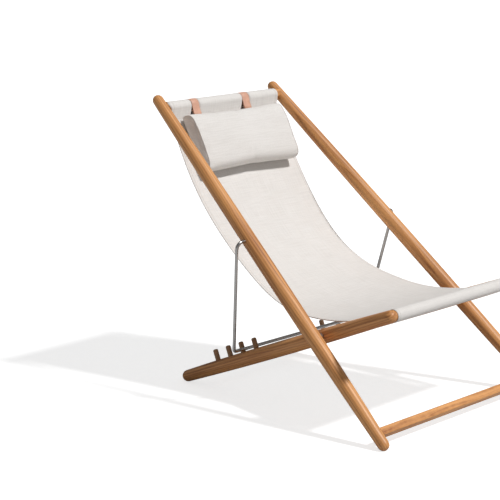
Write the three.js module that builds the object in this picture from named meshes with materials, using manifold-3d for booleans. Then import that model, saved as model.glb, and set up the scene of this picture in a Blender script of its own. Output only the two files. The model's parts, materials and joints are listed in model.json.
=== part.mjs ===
// Folding deck chair: a tapered back frame and a tapered seat frame cross on two pivot bolts,
// a wire prop holds the back at one of four pegs, and a canvas sling hangs between the top and front bars.
// Millimetres, +Z up. The chair's front faces -Y, X runs across it, and the feet stand on Z = 0.
import * as THREE from 'three';
import { mergeVertices } from 'three/addons/utils/BufferGeometryUtils.js';
import Module from 'manifold-3d';

const wasm = await Module();
wasm.setup();

// ---------- driving sizes ----------
// Lengths along a frame are measured in the frame's own plane, between the centres of its round ends.
const backLength = 1158;         // back frame, foot to head
const backAngle = 41.42;         // its slope above the ground, in degrees
const backPivotFromFoot = 330;   // pivot's place along the back frame
const backEndRadius = 15;
const backMidRadius = 20.25;
const backThickAt = 0.43;        // where the back rails are thickest, as a share from the foot
const footHalfWidth = 344;       // half the distance between the back rails' axes at the feet
const frameTaper = 0.0925;       // half-width lost per millimetre of length, the same in both frames

const seatLength = 817;          // seat frame, rear foot to front end
const seatPivotFromRear = 580;   // pivot's place along the seat frame
const seatEndRadius = 16.25;
const seatMidRadius = 20.25;
const seatThickAt = 0.5;
const railGap = 8;               // clear space between a back rail and a seat rail at the pivot
const footFlat = 0.8;            // depth of the flat that each foot stands on

const barRadius = 15;            // top bar and front bar
const topBarFromHead = 29.5;
const frontBarFromEnd = 12;
const rearBarRadius = 11;
const rearBarFromFoot = 70;
const tenonRadius = 10;
const rearTenonRadius = 8;
const tenonDepth = 9;            // how far a tenon passes the rail's axis
const stretcherWidth = 22;       // along the back frame
const stretcherThick = 25;       // square to the back frame
const stretcherRound = 4;
const stretcherFromFoot = 31.3;
const stretcherTenonWidth = 12;
const stretcherTenonThick = 16;

const pegRadius = 7;
const pegHeight = 48.5;          // peg's top above the rail's axis
const pegDepth = 12;             // peg's foot below the rail's axis
const pegCount = 4;
const pegPitch = 54.9;
const firstPegFromRear = 143.7;
const propPeg = 3;               // the peg that carries the prop, counted from the rear

const wireRadius = 4.5;
const propFromPivot = 327.6;     // prop's hinge line, along the back frame
const propTopOverhang = 48.9;    // leg's axis outside the back rail's axis, at the top
const propFootOverhang = 45.4;   // leg's axis outside the seat rail's axis, at the peg
const propTopBend = 17;
const propFootBend = 9;
const propRestGap = 2.5;         // play under the prop's crossbar
const propPegGap = 0.4;          // play between the crossbar and its peg
const propInsert = 8;            // how far the wire's ends pass the rail's surface

const boltRadius = 4;
const boltHeadRadius = 8;
const boltHeadHeight = 5;
const washerRadius = 9;
const washerThick = 1.2;
const spacerRadius = 10;
const spotFaceDepth = 1.6;       // flats cut into the rails under the washer and the spacer
const insertRadius = 6;
const insertLength = 18;
const runningGap = 0.3;          // between pieces that turn, and between pieces that touch
const cutterRun = 60;            // length of a cutter that has to clear a rail
const spotFacePlay = 1;          // between a spot face and what sits in it
const boltEndGap = 2;            // from the bolt's end to the insert's

const clothThick = 1.5;
const sleeveSlack = 0.7;         // between a bar and the cloth around it
const topSleeveInset = 21;       // from a back rail's axis to the end of the sleeve on the top bar
const frontSleeveInset = 24.8;   // and from a seat rail's axis to the end of the sleeve on the front bar
const sleeveDrop = 30;           // from a bar's axis to the sleeve's seam
const slingTopAngle = -113;      // the sling's direction where it leaves the top bar, in degrees in the side view
const slingFrontAngle = -17.3;   // and where it leaves the front bar
const slingTopPull = 541;        // lengths of the sag curve's two handles
const slingFrontPull = 292;

const strapShift = -27;          // the pair of straps sits a little to the sitter's right
const strapSpacing = 206;
const strapWidth = 28;
const strapThick = 2.2;
const notchPlay = 1.2;           // between a strap and the sides of its notch in the sleeve
const pillowShift = -2.5;
const pillowHalfWidth = 187.5;
const pillowLength = 167;
const pillowThick = 54;
const pillowDrop = 34;           // from the top bar's axis to the pillow's top edge
const pillowGap = 2.5;           // between the pillow's flat back and the sling

// ---------- helpers ----------
const rad = THREE.MathUtils.degToRad;

const wood = () => new THREE.MeshStandardMaterial({ color: 0xc08a58, roughness: 0.55, metalness: 0 });
const pegWood = () => new THREE.MeshStandardMaterial({ color: 0x9a6a40, roughness: 0.6, metalness: 0 });
const steel = () => new THREE.MeshStandardMaterial({ color: 0xb9bcbd, roughness: 0.3, metalness: 1 });
const canvas = () => new THREE.MeshStandardMaterial({ color: 0xe9e6df, roughness: 0.95, metalness: 0 });
const leather = () => new THREE.MeshStandardMaterial({ color: 0xd9a583, roughness: 0.65, metalness: 0 });

function toSolid(geometry) {
  const bare = geometry.clone();
  bare.deleteAttribute('normal');
  bare.deleteAttribute('uv');
  const merged = mergeVertices(bare, 1e-4);
  return new wasm.Manifold(new wasm.Mesh({
    numProp: 3,
    vertProperties: Float32Array.from(merged.attributes.position.array),
    triVerts: Uint32Array.from(merged.index.array),
  }));
}

function toGeometry(solid) {
  const raw = solid.getMesh();
  const geometry = new THREE.BufferGeometry();
  geometry.setAttribute('position', new THREE.BufferAttribute(Float32Array.from(raw.vertProperties), 3));
  geometry.setIndex(new THREE.BufferAttribute(Uint32Array.from(raw.triVerts), 1));
  geometry.computeVertexNormals();
  return geometry;
}

function cut(geometry, tools) {
  let solid = toSolid(geometry);
  for (const tool of tools) solid = solid.subtract(toSolid(tool));
  return toGeometry(solid);
}

function join(geometry, pieces) {
  let solid = toSolid(geometry);
  for (const piece of pieces) solid = solid.add(toSolid(piece));
  return toGeometry(solid);
}

function addPart(group, name, geometry, material) {
  const mesh = new THREE.Mesh(geometry, material);
  mesh.name = name;
  group.add(mesh);
  return mesh;
}

// A cylinder along X between two X values, with its axis through (y, z).
function crossRod(radius, x0, x1, y, z, sides = 24) {
  const geometry = new THREE.CylinderGeometry(radius, radius, Math.abs(x1 - x0), sides);
  geometry.rotateZ(Math.PI / 2);
  geometry.translate((x0 + x1) / 2, y, z);
  return geometry;
}

// A shape drawn in the YZ plane and pushed along X from -half to +half.
function pushAcross(shape, half, steps = 1) {
  const geometry = new THREE.ExtrudeGeometry(shape, { depth: 2 * half, steps, bevelEnabled: false });
  const basis = new THREE.Matrix4().set(
    0, 0, 1, -half,
    1, 0, 0, 0,
    0, 1, 0, 0,
    0, 0, 0, 1,
  );
  geometry.applyMatrix4(basis);
  return geometry;
}

// Points along a circle's arc, both ends included.
function arcPoints(cx, cy, radius, from, to, steps) {
  const points = [];
  for (let i = 0; i <= steps; i += 1) {
    const a = from + ((to - from) * i) / steps;
    points.push(new THREE.Vector2(cx + radius * Math.cos(a), cy + radius * Math.sin(a)));
  }
  return points;
}

const SIDES = [['right', -1], ['left', 1]];

// ---------- the two frames ----------
// In a frame's own group, Y runs along the frame with the pivot at 0, and Z is square to its plane.
const backFootY = -backPivotFromFoot;
const backHeadY = backLength - backPivotFromFoot;
const seatRearY = seatPivotFromRear;
const seatFrontY = seatPivotFromRear - seatLength;

const railRadius = (share, thickAt, endRadius, midRadius) => {
  const reach = share < thickAt ? (thickAt - share) / thickAt : (share - thickAt) / (1 - thickAt);
  return endRadius + (midRadius - endRadius) * (1 - Math.abs(reach) ** 2.2);
};
const backRadiusAt = (y) => (
  railRadius((y - backFootY) / backLength, backThickAt, backEndRadius, backMidRadius)
);
const seatRadiusAt = (y) => railRadius((seatRearY - y) / seatLength, seatThickAt, seatEndRadius, seatMidRadius);
const backHalfAt = (y) => footHalfWidth - frameTaper * (y - backFootY);
const seatHalfAtPivot = backHalfAt(0) - backRadiusAt(0) - seatRadiusAt(0) - railGap;
const seatHalfAt = (y) => seatHalfAtPivot - frameTaper * y;

const pivotHeight = backEndRadius - footFlat + backPivotFromFoot * Math.sin(rad(backAngle));
const seatDrop = pivotHeight - (seatEndRadius - footFlat);
const seatAngle = THREE.MathUtils.radToDeg(Math.asin(seatDrop / seatPivotFromRear));

// The chair is centred on its own length: from the front feet's noses to the head of the back frame.
const frontReach = backPivotFromFoot * Math.cos(rad(backAngle)) + backEndRadius;
const rearReach = backHeadY * Math.cos(rad(backAngle)) + backEndRadius;
const pivotY = (frontReach - rearReach) / 2;

function frameGroup(angle) {
  const group = new THREE.Group();
  group.position.set(0, pivotY, pivotHeight);
  group.rotation.x = rad(angle);
  group.updateMatrix();
  return group;
}
const backFrame = frameGroup(backAngle);
const seatFrame = frameGroup(-seatAngle);

// A turned rail with round ends, leaning inwards by the frame's taper. grow makes it larger all over, for a cutter.
function rail(side, y0, y1, halfAt, radiusAt, endRadius, grow = 0) {
  const foot = new THREE.Vector2(halfAt(y0), y0);
  const head = new THREE.Vector2(halfAt(y1), y1);
  const length = foot.distanceTo(head);
  const domeSteps = 5;
  const bodySteps = 14;
  const profile = [];
  for (let i = 0; i < domeSteps; i += 1) {
    const a = (i / domeSteps) * (Math.PI / 2);
    profile.push(new THREE.Vector2((endRadius + grow) * Math.sin(a), -(endRadius + grow) * Math.cos(a)));
  }
  for (let i = 0; i <= bodySteps; i += 1) {
    const share = i / bodySteps;
    profile.push(new THREE.Vector2(radiusAt(y0 + share * (y1 - y0)) + grow, share * length));
  }
  for (let i = domeSteps - 1; i >= 0; i -= 1) {
    const a = (i / domeSteps) * (Math.PI / 2);
    profile.push(new THREE.Vector2((endRadius + grow) * Math.sin(a), length + (endRadius + grow) * Math.cos(a)));
  }
  profile[0].x = 0;
  profile[profile.length - 1].x = 0;
  const geometry = new THREE.LatheGeometry(profile, 28);
  geometry.rotateZ(-Math.atan2(head.x - foot.x, head.y - foot.y));
  geometry.translate(foot.x, foot.y, 0);
  if (side < 0) geometry.rotateY(Math.PI);
  return geometry;
}
const backRail = (side, grow = 0) => (
  rail(side, backFootY, backHeadY, backHalfAt, backRadiusAt, backEndRadius, grow)
);
const seatRail = (side, grow = 0) => (
  rail(side, seatFrontY, seatRearY, seatHalfAt, seatRadiusAt, seatEndRadius, grow)
);

// The ground, as a block below Z = 0 seen from inside a frame's group.
function groundBlock(group) {
  const geometry = new THREE.BoxGeometry(2000, 4000, 200);
  geometry.translate(0, 0, -100);
  geometry.applyMatrix4(group.matrix.clone().invert());
  return geometry;
}

// A crossbar between two rails, saddled onto them and held by round tenons.
function crossbar(radius, tenon, y, halfAt, railSolid) {
  const half = halfAt(y);
  const tenonEnd = half + tenonDepth - runningGap;
  const body = cut(crossRod(radius, -half, half, y, 0), [railSolid(-1, runningGap), railSolid(1, runningGap)]);
  return join(body, [crossRod(tenon - runningGap, -tenonEnd, tenonEnd, y, 0)]);
}
const tenonHole = (side, radius, y, halfAt) => (
  crossRod(radius, side * (halfAt(y) - cutterRun), side * (halfAt(y) + tenonDepth), y, 0)
);

// ---------- back frame ----------
const topBarY = backHeadY - topBarFromHead;
const stretcherY = backFootY + stretcherFromFoot;
const frontBarY = seatFrontY + frontBarFromEnd;
const rearBarY = seatRearY - rearBarFromFoot;

function stretcherBlock(width, thick, round, half) {
  const w = width / 2 - round;
  const t = thick / 2 - round;
  const turn = Math.PI / 2;
  const shape = new THREE.Shape([
    ...arcPoints(w, -t, round, -turn, 0, 4),
    ...arcPoints(w, t, round, 0, turn, 4),
    ...arcPoints(-w, t, round, turn, 2 * turn, 4),
    ...arcPoints(-w, -t, round, 2 * turn, 3 * turn, 4),
  ]);
  const geometry = pushAcross(shape, half);
  geometry.translate(0, stretcherY, 0);
  return geometry;
}

function stretcherTenon(side, grow) {
  const half = backHalfAt(stretcherY);
  const end = half + tenonDepth + (grow ? 0 : -runningGap);
  const geometry = new THREE.BoxGeometry(cutterRun, stretcherTenonWidth + 2 * grow, stretcherTenonThick + 2 * grow);
  geometry.translate(side * (end - cutterRun / 2), stretcherY, 0);
  return geometry;
}

const backSeatFaceX = backHalfAt(0) - backRadiusAt(0) + spotFaceDepth;   // spacer's seat on the back rail
const seatOuterFaceX = seatHalfAtPivot + seatRadiusAt(0) - spotFaceDepth; // spacer's seat on the seat rail
const seatInnerFaceX = seatHalfAtPivot - seatRadiusAt(0) + spotFaceDepth; // washer's seat on the seat rail
const insertEndX = backSeatFaceX + runningGap + insertLength;

const propHoleEndX = backHalfAt(propFromPivot) + backRadiusAt(propFromPivot) - propInsert;

for (const [word, side] of SIDES) {
  const solid = cut(backRail(side), [
    tenonHole(side, tenonRadius, topBarY, backHalfAt),
    stretcherTenon(side, runningGap),
    crossRod(spacerRadius + spotFacePlay, side * (backSeatFaceX - cutterRun / 2), side * backSeatFaceX, 0, 0),
    crossRod(insertRadius + runningGap, side * (backSeatFaceX - spotFacePlay), side * (insertEndX + runningGap), 0, 0),
    crossRod(wireRadius + runningGap, side * propHoleEndX, side * (propHoleEndX + cutterRun), propFromPivot, 0, 16),
    groundBlock(backFrame),
  ]);
  addPart(backFrame, `back_rail_${word}`, solid, wood());
}
addPart(backFrame, 'top_bar', crossbar(barRadius, tenonRadius, topBarY, backHalfAt, backRail), wood());

const stretcherBody = cut(
  stretcherBlock(stretcherWidth, stretcherThick, stretcherRound, backHalfAt(stretcherY)),
  [backRail(-1, runningGap), backRail(1, runningGap)],
);
addPart(backFrame, 'low_stretcher', join(stretcherBody, [stretcherTenon(-1, 0), stretcherTenon(1, 0)]), wood());

// ---------- seat frame ----------
const pegY = (number) => seatRearY - firstPegFromRear - (number - 1) * pegPitch;

for (const [word, side] of SIDES) {
  const holes = [
    tenonHole(side, tenonRadius, frontBarY, seatHalfAt),
    tenonHole(side, rearTenonRadius, rearBarY, seatHalfAt),
    crossRod(
      boltRadius + runningGap, side * (seatHalfAtPivot - cutterRun), side * (seatHalfAtPivot + cutterRun), 0, 0, 16,
    ),
    crossRod(spacerRadius + spotFacePlay, side * seatOuterFaceX, side * (seatOuterFaceX + cutterRun / 2), 0, 0),
    crossRod(washerRadius + spotFacePlay, side * (seatInnerFaceX - cutterRun / 2), side * seatInnerFaceX, 0, 0),
    groundBlock(seatFrame),
  ];
  for (let number = 1; number <= pegCount; number += 1) {
    const hole = new THREE.CylinderGeometry(pegRadius + runningGap, pegRadius + runningGap, cutterRun, 16);
    hole.rotateX(Math.PI / 2);
    hole.translate(side * seatHalfAt(pegY(number)), pegY(number), cutterRun / 2 - pegDepth - runningGap);
    holes.push(hole);
  }
  addPart(seatFrame, `seat_rail_${word}`, cut(seatRail(side), holes), wood());
}
addPart(seatFrame, 'front_bar', crossbar(barRadius, tenonRadius, frontBarY, seatHalfAt, seatRail), wood());
addPart(seatFrame, 'rear_bar', crossbar(rearBarRadius, rearTenonRadius, rearBarY, seatHalfAt, seatRail), wood());

function peg(side, number) {
  const domeSteps = 3;
  const crown = pegRadius * 0.6;
  const profile = [new THREE.Vector2(0, -pegDepth), new THREE.Vector2(pegRadius, -pegDepth)];
  for (let i = 0; i <= domeSteps; i += 1) {
    const a = (i / domeSteps) * (Math.PI / 2);
    const flat = pegRadius - crown;
    profile.push(new THREE.Vector2(flat + crown * Math.cos(a), pegHeight - crown + crown * Math.sin(a)));
  }
  profile.push(new THREE.Vector2(0, pegHeight));
  const geometry = new THREE.LatheGeometry(profile, 16);
  geometry.rotateX(Math.PI / 2);
  geometry.translate(side * seatHalfAt(pegY(number)), pegY(number), 0);
  return geometry;
}
for (const [word, side] of SIDES) {
  for (let number = 1; number <= pegCount; number += 1) {
    addPart(seatFrame, `peg_${word}_${number}`, peg(side, number), pegWood());
  }
}

// ---------- pivots ----------
function ringAcross(outer, inner, x0, x1) {
  const overrun = (cutterRun / 12) * Math.sign(x1 - x0);
  return cut(crossRod(outer, x0, x1, 0, 0), [crossRod(inner, x0 - overrun, x1 + overrun, 0, 0, 16)]);
}
for (const [word, side] of SIDES) {
  const washerInnerX = seatInnerFaceX - runningGap - washerThick;
  const headX = washerInnerX - runningGap;
  const spacer = ringAcross(
    spacerRadius, boltRadius + runningGap,
    side * (seatOuterFaceX + runningGap), side * (backSeatFaceX - runningGap),
  );
  const washer = ringAcross(
    washerRadius, boltRadius + runningGap, side * washerInnerX, side * (seatInnerFaceX - runningGap),
  );
  const bolt = join(
    crossRod(boltRadius, side * headX, side * (insertEndX - boltEndGap), 0, 0, 16),
    [crossRod(boltHeadRadius, side * (headX - boltHeadHeight), side * headX, 0, 0, 20)],
  );
  const insert = ringAcross(
    insertRadius, boltRadius + runningGap, side * (backSeatFaceX + runningGap), side * insertEndX,
  );
  addPart(seatFrame, `pivot_spacer_${word}`, spacer, steel());
  addPart(seatFrame, `pivot_washer_${word}`, washer, steel());
  addPart(backFrame, `pivot_bolt_${word}`, bolt, steel());
  addPart(backFrame, `pivot_insert_${word}`, insert, steel());
}

// ---------- prop bracket ----------
// In its own group the hinge line is X through the origin, and -Z runs down to the crossbar.
const propBarY = pegY(propPeg) - pegRadius - wireRadius - propPegGap;
const propBarZ = seatRadiusAt(propBarY) + wireRadius + propRestGap;
const propHinge = new THREE.Vector3(0, propFromPivot, 0).applyMatrix4(backFrame.matrix);
const propFoot = new THREE.Vector3(0, propBarY, propBarZ).applyMatrix4(seatFrame.matrix);
const propReach = propFoot.clone().sub(propHinge);
const propLength = propReach.length();
const propTopHalf = backHalfAt(propFromPivot) + propTopOverhang;
const propFootHalf = seatHalfAt(propBarY) + propFootOverhang;

// A path of straight runs and round bends whose sweep steps fall on the listed points.
class BentPath extends THREE.Curve {
  constructor(points) {
    super();
    this.points = points;
  }

  getPoint(t, target = new THREE.Vector3()) {
    const last = this.points.length - 1;
    const place = THREE.MathUtils.clamp(t, 0, 1) * last;
    const i = Math.min(Math.floor(place), last - 1);
    return target.lerpVectors(this.points[i], this.points[i + 1], place - i);
  }

  getUtoTmapping(u) {
    return u;
  }
}

// Rounds the corners of a line through the given points, each with its own bend radius.
function bendCorners(corners, radii, bendSteps) {
  const points = [corners[0]];
  for (let i = 1; i < corners.length - 1; i += 1) {
    const into = corners[i - 1].clone().sub(corners[i]).normalize();
    const out = corners[i + 1].clone().sub(corners[i]).normalize();
    const halfTurn = into.angleTo(out) / 2;
    const back = radii[i - 1] / Math.tan(halfTurn);
    const start = corners[i].clone().addScaledVector(into, back);
    const end = corners[i].clone().addScaledVector(out, back);
    const centre = corners[i].clone().addScaledVector(
      into.clone().add(out).normalize(), radii[i - 1] / Math.sin(halfTurn),
    );
    const a = start.clone().sub(centre);
    const b = end.clone().sub(centre);
    const turn = a.angleTo(b);
    for (let k = 0; k <= bendSteps; k += 1) {
      const share = k / bendSteps;
      const point = a.clone().multiplyScalar(Math.sin((1 - share) * turn) / Math.sin(turn));
      point.addScaledVector(b, Math.sin(share * turn) / Math.sin(turn)).add(centre);
      points.push(point);
    }
  }
  points.push(corners[corners.length - 1]);
  return points;
}

const propCorners = [
  [-(propHoleEndX + runningGap), 0], [-propTopHalf, 0], [-propFootHalf, -propLength],
  [propFootHalf, -propLength], [propTopHalf, 0], [propHoleEndX + runningGap, 0],
].map(([x, z]) => new THREE.Vector3(x, 0, z));
const propPoints = bendCorners(propCorners, [propTopBend, propFootBend, propFootBend, propTopBend], 6);
const wireSection = new THREE.Shape(arcPoints(0, 0, wireRadius, 0, Math.PI * 2, 12).slice(1));
const propWire = new THREE.ExtrudeGeometry(wireSection, {
  steps: propPoints.length - 1, extrudePath: new BentPath(propPoints),
});
const propGroup = new THREE.Group();
propGroup.position.copy(propHinge);
propGroup.rotation.x = Math.atan2(propReach.y, -propReach.z);
addPart(propGroup, 'prop_bracket', propWire, steel());

// ---------- sling ----------
// Side-view points are Vector2(y, z) in the chair's frame.
const sidePoint = (group, y) => {
  const point = new THREE.Vector3(0, y, 0).applyMatrix4(group.matrix);
  return new THREE.Vector2(point.y, point.z);
};
const topBarAt = sidePoint(backFrame, topBarY);
const frontBarAt = sidePoint(seatFrame, frontBarY);
const direction = (degrees) => new THREE.Vector2(Math.cos(rad(degrees)), Math.sin(rad(degrees)));

const topWay = direction(slingTopAngle);
const frontWay = direction(slingFrontAngle);
const topSeam = topBarAt.clone().addScaledVector(topWay, sleeveDrop);
const frontSeam = frontBarAt.clone().addScaledVector(frontWay, sleeveDrop);
const sag = new THREE.CubicBezierCurve(
  topSeam,
  topSeam.clone().addScaledVector(topWay, slingTopPull),
  frontSeam.clone().addScaledVector(frontWay, slingFrontPull),
  frontSeam,
);

// The outline of a sleeve around a bar: from one side of its seam, round the bar, to the other side.
function sleeveLine(centre, way, radius, drop, halfSeam) {
  const normal = new THREE.Vector2(-way.y, way.x);
  const lean = Math.acos(radius / drop);
  const heading = Math.atan2(way.y, way.x);
  const seam = centre.clone().addScaledVector(way, drop);
  const round = arcPoints(centre.x, centre.y, radius, heading + lean, heading + 2 * Math.PI - lean, 14);
  if (halfSeam === 0) return [seam, ...round];
  const before = seam.clone().addScaledVector(normal, halfSeam);
  const after = seam.clone().addScaledVector(normal, -halfSeam);
  return [before, ...round, after];
}

const sleeveInner = barRadius + sleeveSlack;
const sleeveOuter = sleeveInner + clothThick;
const halfCloth = clothThick / 2;
const sagSteps = 28;
const frontSide = [];
const rearSide = [];
for (let i = 1; i < sagSteps; i += 1) {
  const at = sag.getPoint(i / sagSteps);
  const along = sag.getTangent(i / sagSteps);
  frontSide.push(new THREE.Vector2(at.x + along.y * halfCloth, at.y - along.x * halfCloth));
  rearSide.push(new THREE.Vector2(at.x - along.y * halfCloth, at.y + along.x * halfCloth));
}
const topLoop = sleeveLine(topBarAt, topWay, sleeveOuter, sleeveDrop, halfCloth);
const frontLoop = sleeveLine(frontBarAt, frontWay, sleeveOuter, sleeveDrop, halfCloth);
const slingShape = new THREE.Shape([...topLoop, ...frontSide, ...frontLoop, ...rearSide.reverse()]);
for (const [centre, way] of [[topBarAt, topWay], [frontBarAt, frontWay]]) {
  slingShape.holes.push(new THREE.Path(sleeveLine(centre, way, sleeveInner, sleeveDrop - 4 * clothThick, 0)));
}
const slingBlank = pushAcross(slingShape, 1);
const slingPositions = slingBlank.attributes.position;
const topSleeveHalf = backHalfAt(topBarY) - topSleeveInset;
const frontSleeveHalf = seatHalfAt(frontBarY) - frontSleeveInset;
for (let i = 0; i < slingPositions.count; i += 1) {
  const share = (topBarAt.x - slingPositions.getY(i)) / (topBarAt.x - frontBarAt.x);
  const half = THREE.MathUtils.lerp(topSleeveHalf, frontSleeveHalf, THREE.MathUtils.clamp(share, 0, 1));
  slingPositions.setX(i, slingPositions.getX(i) * half);
}

// Notches that bare the top bar for the two straps.
const strapX = [-1, 1].map((sign) => strapShift + (sign * strapSpacing) / 2);
const topHeading = Math.atan2(topWay.y, topWay.x);
function notch(x) {
  const height = 60;
  const geometry = new THREE.BoxGeometry(strapWidth + 2 * notchPlay, 80, height);
  geometry.translate(0, 0, height / 2 - sleeveDrop + 6 * clothThick);
  geometry.rotateX(topHeading + Math.PI / 2);
  geometry.translate(x, topBarAt.x, topBarAt.y);
  return geometry;
}
const slingGroup = new THREE.Group();
addPart(slingGroup, 'sling', cut(slingBlank, strapX.map(notch)), canvas());

// ---------- headrest ----------
// Its group hangs from the top bar: -Z runs down the sling behind the pillow, -Y stands off it to the front.
const slingRun = sag.getLength();
const pillowTopAt = sag.getPointAt((pillowDrop - sleeveDrop) / slingRun);
const pillowFootAt = sag.getPointAt((pillowDrop - sleeveDrop + pillowLength) / slingRun);
const headrestHeading = Math.atan2(pillowFootAt.y - pillowTopAt.y, pillowFootAt.x - pillowTopAt.x);
const headrestTilt = headrestHeading + Math.PI / 2;
const slingBehind = pillowTopAt.clone().sub(topBarAt).dot(
  new THREE.Vector2(Math.cos(headrestTilt), Math.sin(headrestTilt)),
);
const headrest = new THREE.Group();
headrest.position.set(0, topBarAt.x, topBarAt.y);
headrest.rotation.x = headrestTilt;

// A flat back, a crowned front and a fuller lower edge, in the YZ plane.
function pillowShape() {
  const back = slingBehind - halfCloth - pillowGap;
  const front = back - pillowThick;
  const high = -pillowDrop;
  const low = high - pillowLength;
  const corner = pillowThick * 0.2;
  const shape = new THREE.Shape();
  shape.moveTo(back, low + corner);
  shape.lineTo(back, high - corner);
  shape.quadraticCurveTo(back, high, back - corner, high);
  shape.bezierCurveTo(back - pillowThick * 0.7, high, front + 4, high - corner, front + 3, high - pillowLength * 0.2);
  shape.quadraticCurveTo(front - 3, high - pillowLength * 0.5, front, low + pillowThick * 0.45);
  shape.bezierCurveTo(front + 3, low + 4, front + pillowThick * 0.4, low, back - pillowThick * 0.4, low);
  shape.quadraticCurveTo(back, low, back, low + corner);
  return shape;
}
function pillow() {
  const geometry = new THREE.ExtrudeGeometry(pillowShape(), {
    depth: 2 * pillowHalfWidth, bevelEnabled: false, curveSegments: 6,
  });
  geometry.applyMatrix4(new THREE.Matrix4().set(
    0, 0, 1, pillowShift - pillowHalfWidth,
    1, 0, 0, 0,
    0, 1, 0, 0,
    0, 0, 0, 1,
  ));
  return geometry;
}
addPart(headrest, 'headrest_pillow', pillow(), canvas());

// A strap loops round the bar, and its two ends come down together to the pillow's top edge.
function strapShape() {
  const inner = barRadius + runningGap;
  const outer = inner + strapThick;
  const foot = -(pillowDrop - runningGap);
  const tailBack = -outer + 2 * strapThick;
  const shape = new THREE.Shape([
    ...arcPoints(0, 0, outer, Math.PI, -Math.PI * 0.36, 14),
    new THREE.Vector2(tailBack * 0.2, -outer - 0.6),
    new THREE.Vector2(tailBack, -outer - 3),
    new THREE.Vector2(tailBack, foot),
    new THREE.Vector2(-outer, foot),
  ]);
  shape.holes.push(new THREE.Path(arcPoints(0, 0, inner, 0, Math.PI * 2, 24).slice(1)));
  return shape;
}
for (const [index, word] of ['right', 'left'].entries()) {
  const geometry = pushAcross(strapShape(), strapWidth / 2);
  geometry.translate(strapX[index], 0, 0);
  addPart(headrest, `strap_${word}`, geometry, leather());
}

const deckChair = new THREE.Group();
deckChair.add(backFrame, seatFrame, propGroup, slingGroup, headrest);

export default deckChair;
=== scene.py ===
"""Looks of a folding deck chair: oiled turned rails, a canvas sling, a padded headrest and a steel wire prop.

Metres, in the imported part's own frame: X runs across the chair, its front faces -Y, its feet stand on Z = 0.
"""
import json
import math

import bmesh
import bpy
from mathutils import Euler, Matrix, Vector, noise
from mathutils.bvhtree import BVHTree


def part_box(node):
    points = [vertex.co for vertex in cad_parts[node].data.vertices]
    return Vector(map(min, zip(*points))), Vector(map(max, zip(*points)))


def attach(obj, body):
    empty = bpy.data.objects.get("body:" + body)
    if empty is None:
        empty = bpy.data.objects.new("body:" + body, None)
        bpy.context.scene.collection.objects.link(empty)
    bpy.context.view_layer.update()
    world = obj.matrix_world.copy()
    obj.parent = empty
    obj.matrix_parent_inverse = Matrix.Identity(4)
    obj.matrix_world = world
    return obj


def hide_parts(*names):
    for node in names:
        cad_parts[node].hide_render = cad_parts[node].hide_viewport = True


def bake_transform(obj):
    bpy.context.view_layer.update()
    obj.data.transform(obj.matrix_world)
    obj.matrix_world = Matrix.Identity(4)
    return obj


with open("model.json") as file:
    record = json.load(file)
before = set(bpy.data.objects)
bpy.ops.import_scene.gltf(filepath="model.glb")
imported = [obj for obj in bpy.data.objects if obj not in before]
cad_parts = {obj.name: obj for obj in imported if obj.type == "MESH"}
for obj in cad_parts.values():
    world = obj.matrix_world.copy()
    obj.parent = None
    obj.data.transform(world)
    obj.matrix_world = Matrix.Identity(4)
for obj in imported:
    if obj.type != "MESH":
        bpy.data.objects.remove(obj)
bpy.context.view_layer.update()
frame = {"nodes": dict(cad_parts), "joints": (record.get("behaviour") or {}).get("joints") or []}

nodes = frame["nodes"]
joints = {joint["name"]: joint for joint in frame["joints"]}

# ---------- places, from the frame ----------
PIVOT = Vector(joints["recline"]["pos_m"])
PROP_HINGE = Vector(joints["bracket_swing"]["pos_m"])
HEAD_BAR = Vector(joints["headrest_lift"]["pos_m"])


def middle(node):
    low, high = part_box(node)
    return (low + high) / 2


FRONT_BAR = middle("front_bar")
REAR_BAR = middle("rear_bar")
BACK_SLOPE = math.atan2(PROP_HINGE.z - PIVOT.z, PROP_HINGE.y - PIVOT.y)
SEAT_SLOPE = math.atan2(REAR_BAR.z - PIVOT.z, REAR_BAR.y - PIVOT.y)
BAR_RADIUS = (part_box("front_bar")[1].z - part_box("front_bar")[0].z) / 2
FRAME_TAPER = 0.0925

# ---------- sizes of the soft pieces ----------
CLOTH = 0.0013                 # thickness of the canvas
SLEEVE_RADIUS = BAR_RADIUS + 0.0014
SLEEVE_DROP = 0.030            # from a bar's axis to the sleeve's seam
SEAM_TAIL = 0.012              # cloth turned back behind a seam
TOP_WAY = math.radians(-113.0)
FRONT_WAY = math.radians(-17.3)
TOP_PULL = 0.541
FRONT_PULL = 0.292
TOP_HALF = 0.2186
TOP_SHIFT = -0.0048            # the top sleeve lies a little towards the right rail
SLEEVE_FLARE = 0.008
HEM = 0.012
HEM_STITCH = 0.0095
FRONT_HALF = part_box("sling")[1].x
SEAT_TWIST = 0.015             # how far the right edge stands above the mean, and the left edge below it

HEAD_SHIFT = (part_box("headrest_pillow")[0].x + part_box("headrest_pillow")[1].x) / 2
PILLOW_HALF = (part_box("headrest_pillow")[1].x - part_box("headrest_pillow")[0].x) / 2
STRAP_X = [middle("strap_right").x, middle("strap_left").x]
STRAP_HALF = (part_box("strap_left")[1].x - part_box("strap_left")[0].x) / 2
STRAP_THICK = 0.0022
NOTCH_PLAY = 0.0012            # between a strap and the sides of its notch
PILLOW_DROP = 0.034
PILLOW_LENGTH = 0.167
PILLOW_THICK = 0.054
FILL_CAP = 0.006               # the furthest a point may move when the pillow is filled
VOXEL = 0.005                  # edge of the evened-out mesh that the pillow is filled on
FILL_SHARE = 0.24              # how much of the filling's swell the sewn shape lets through
PILLOW_SEAM_PULL = 0.0012      # depth of the puckers beside the pillow's seams


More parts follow.
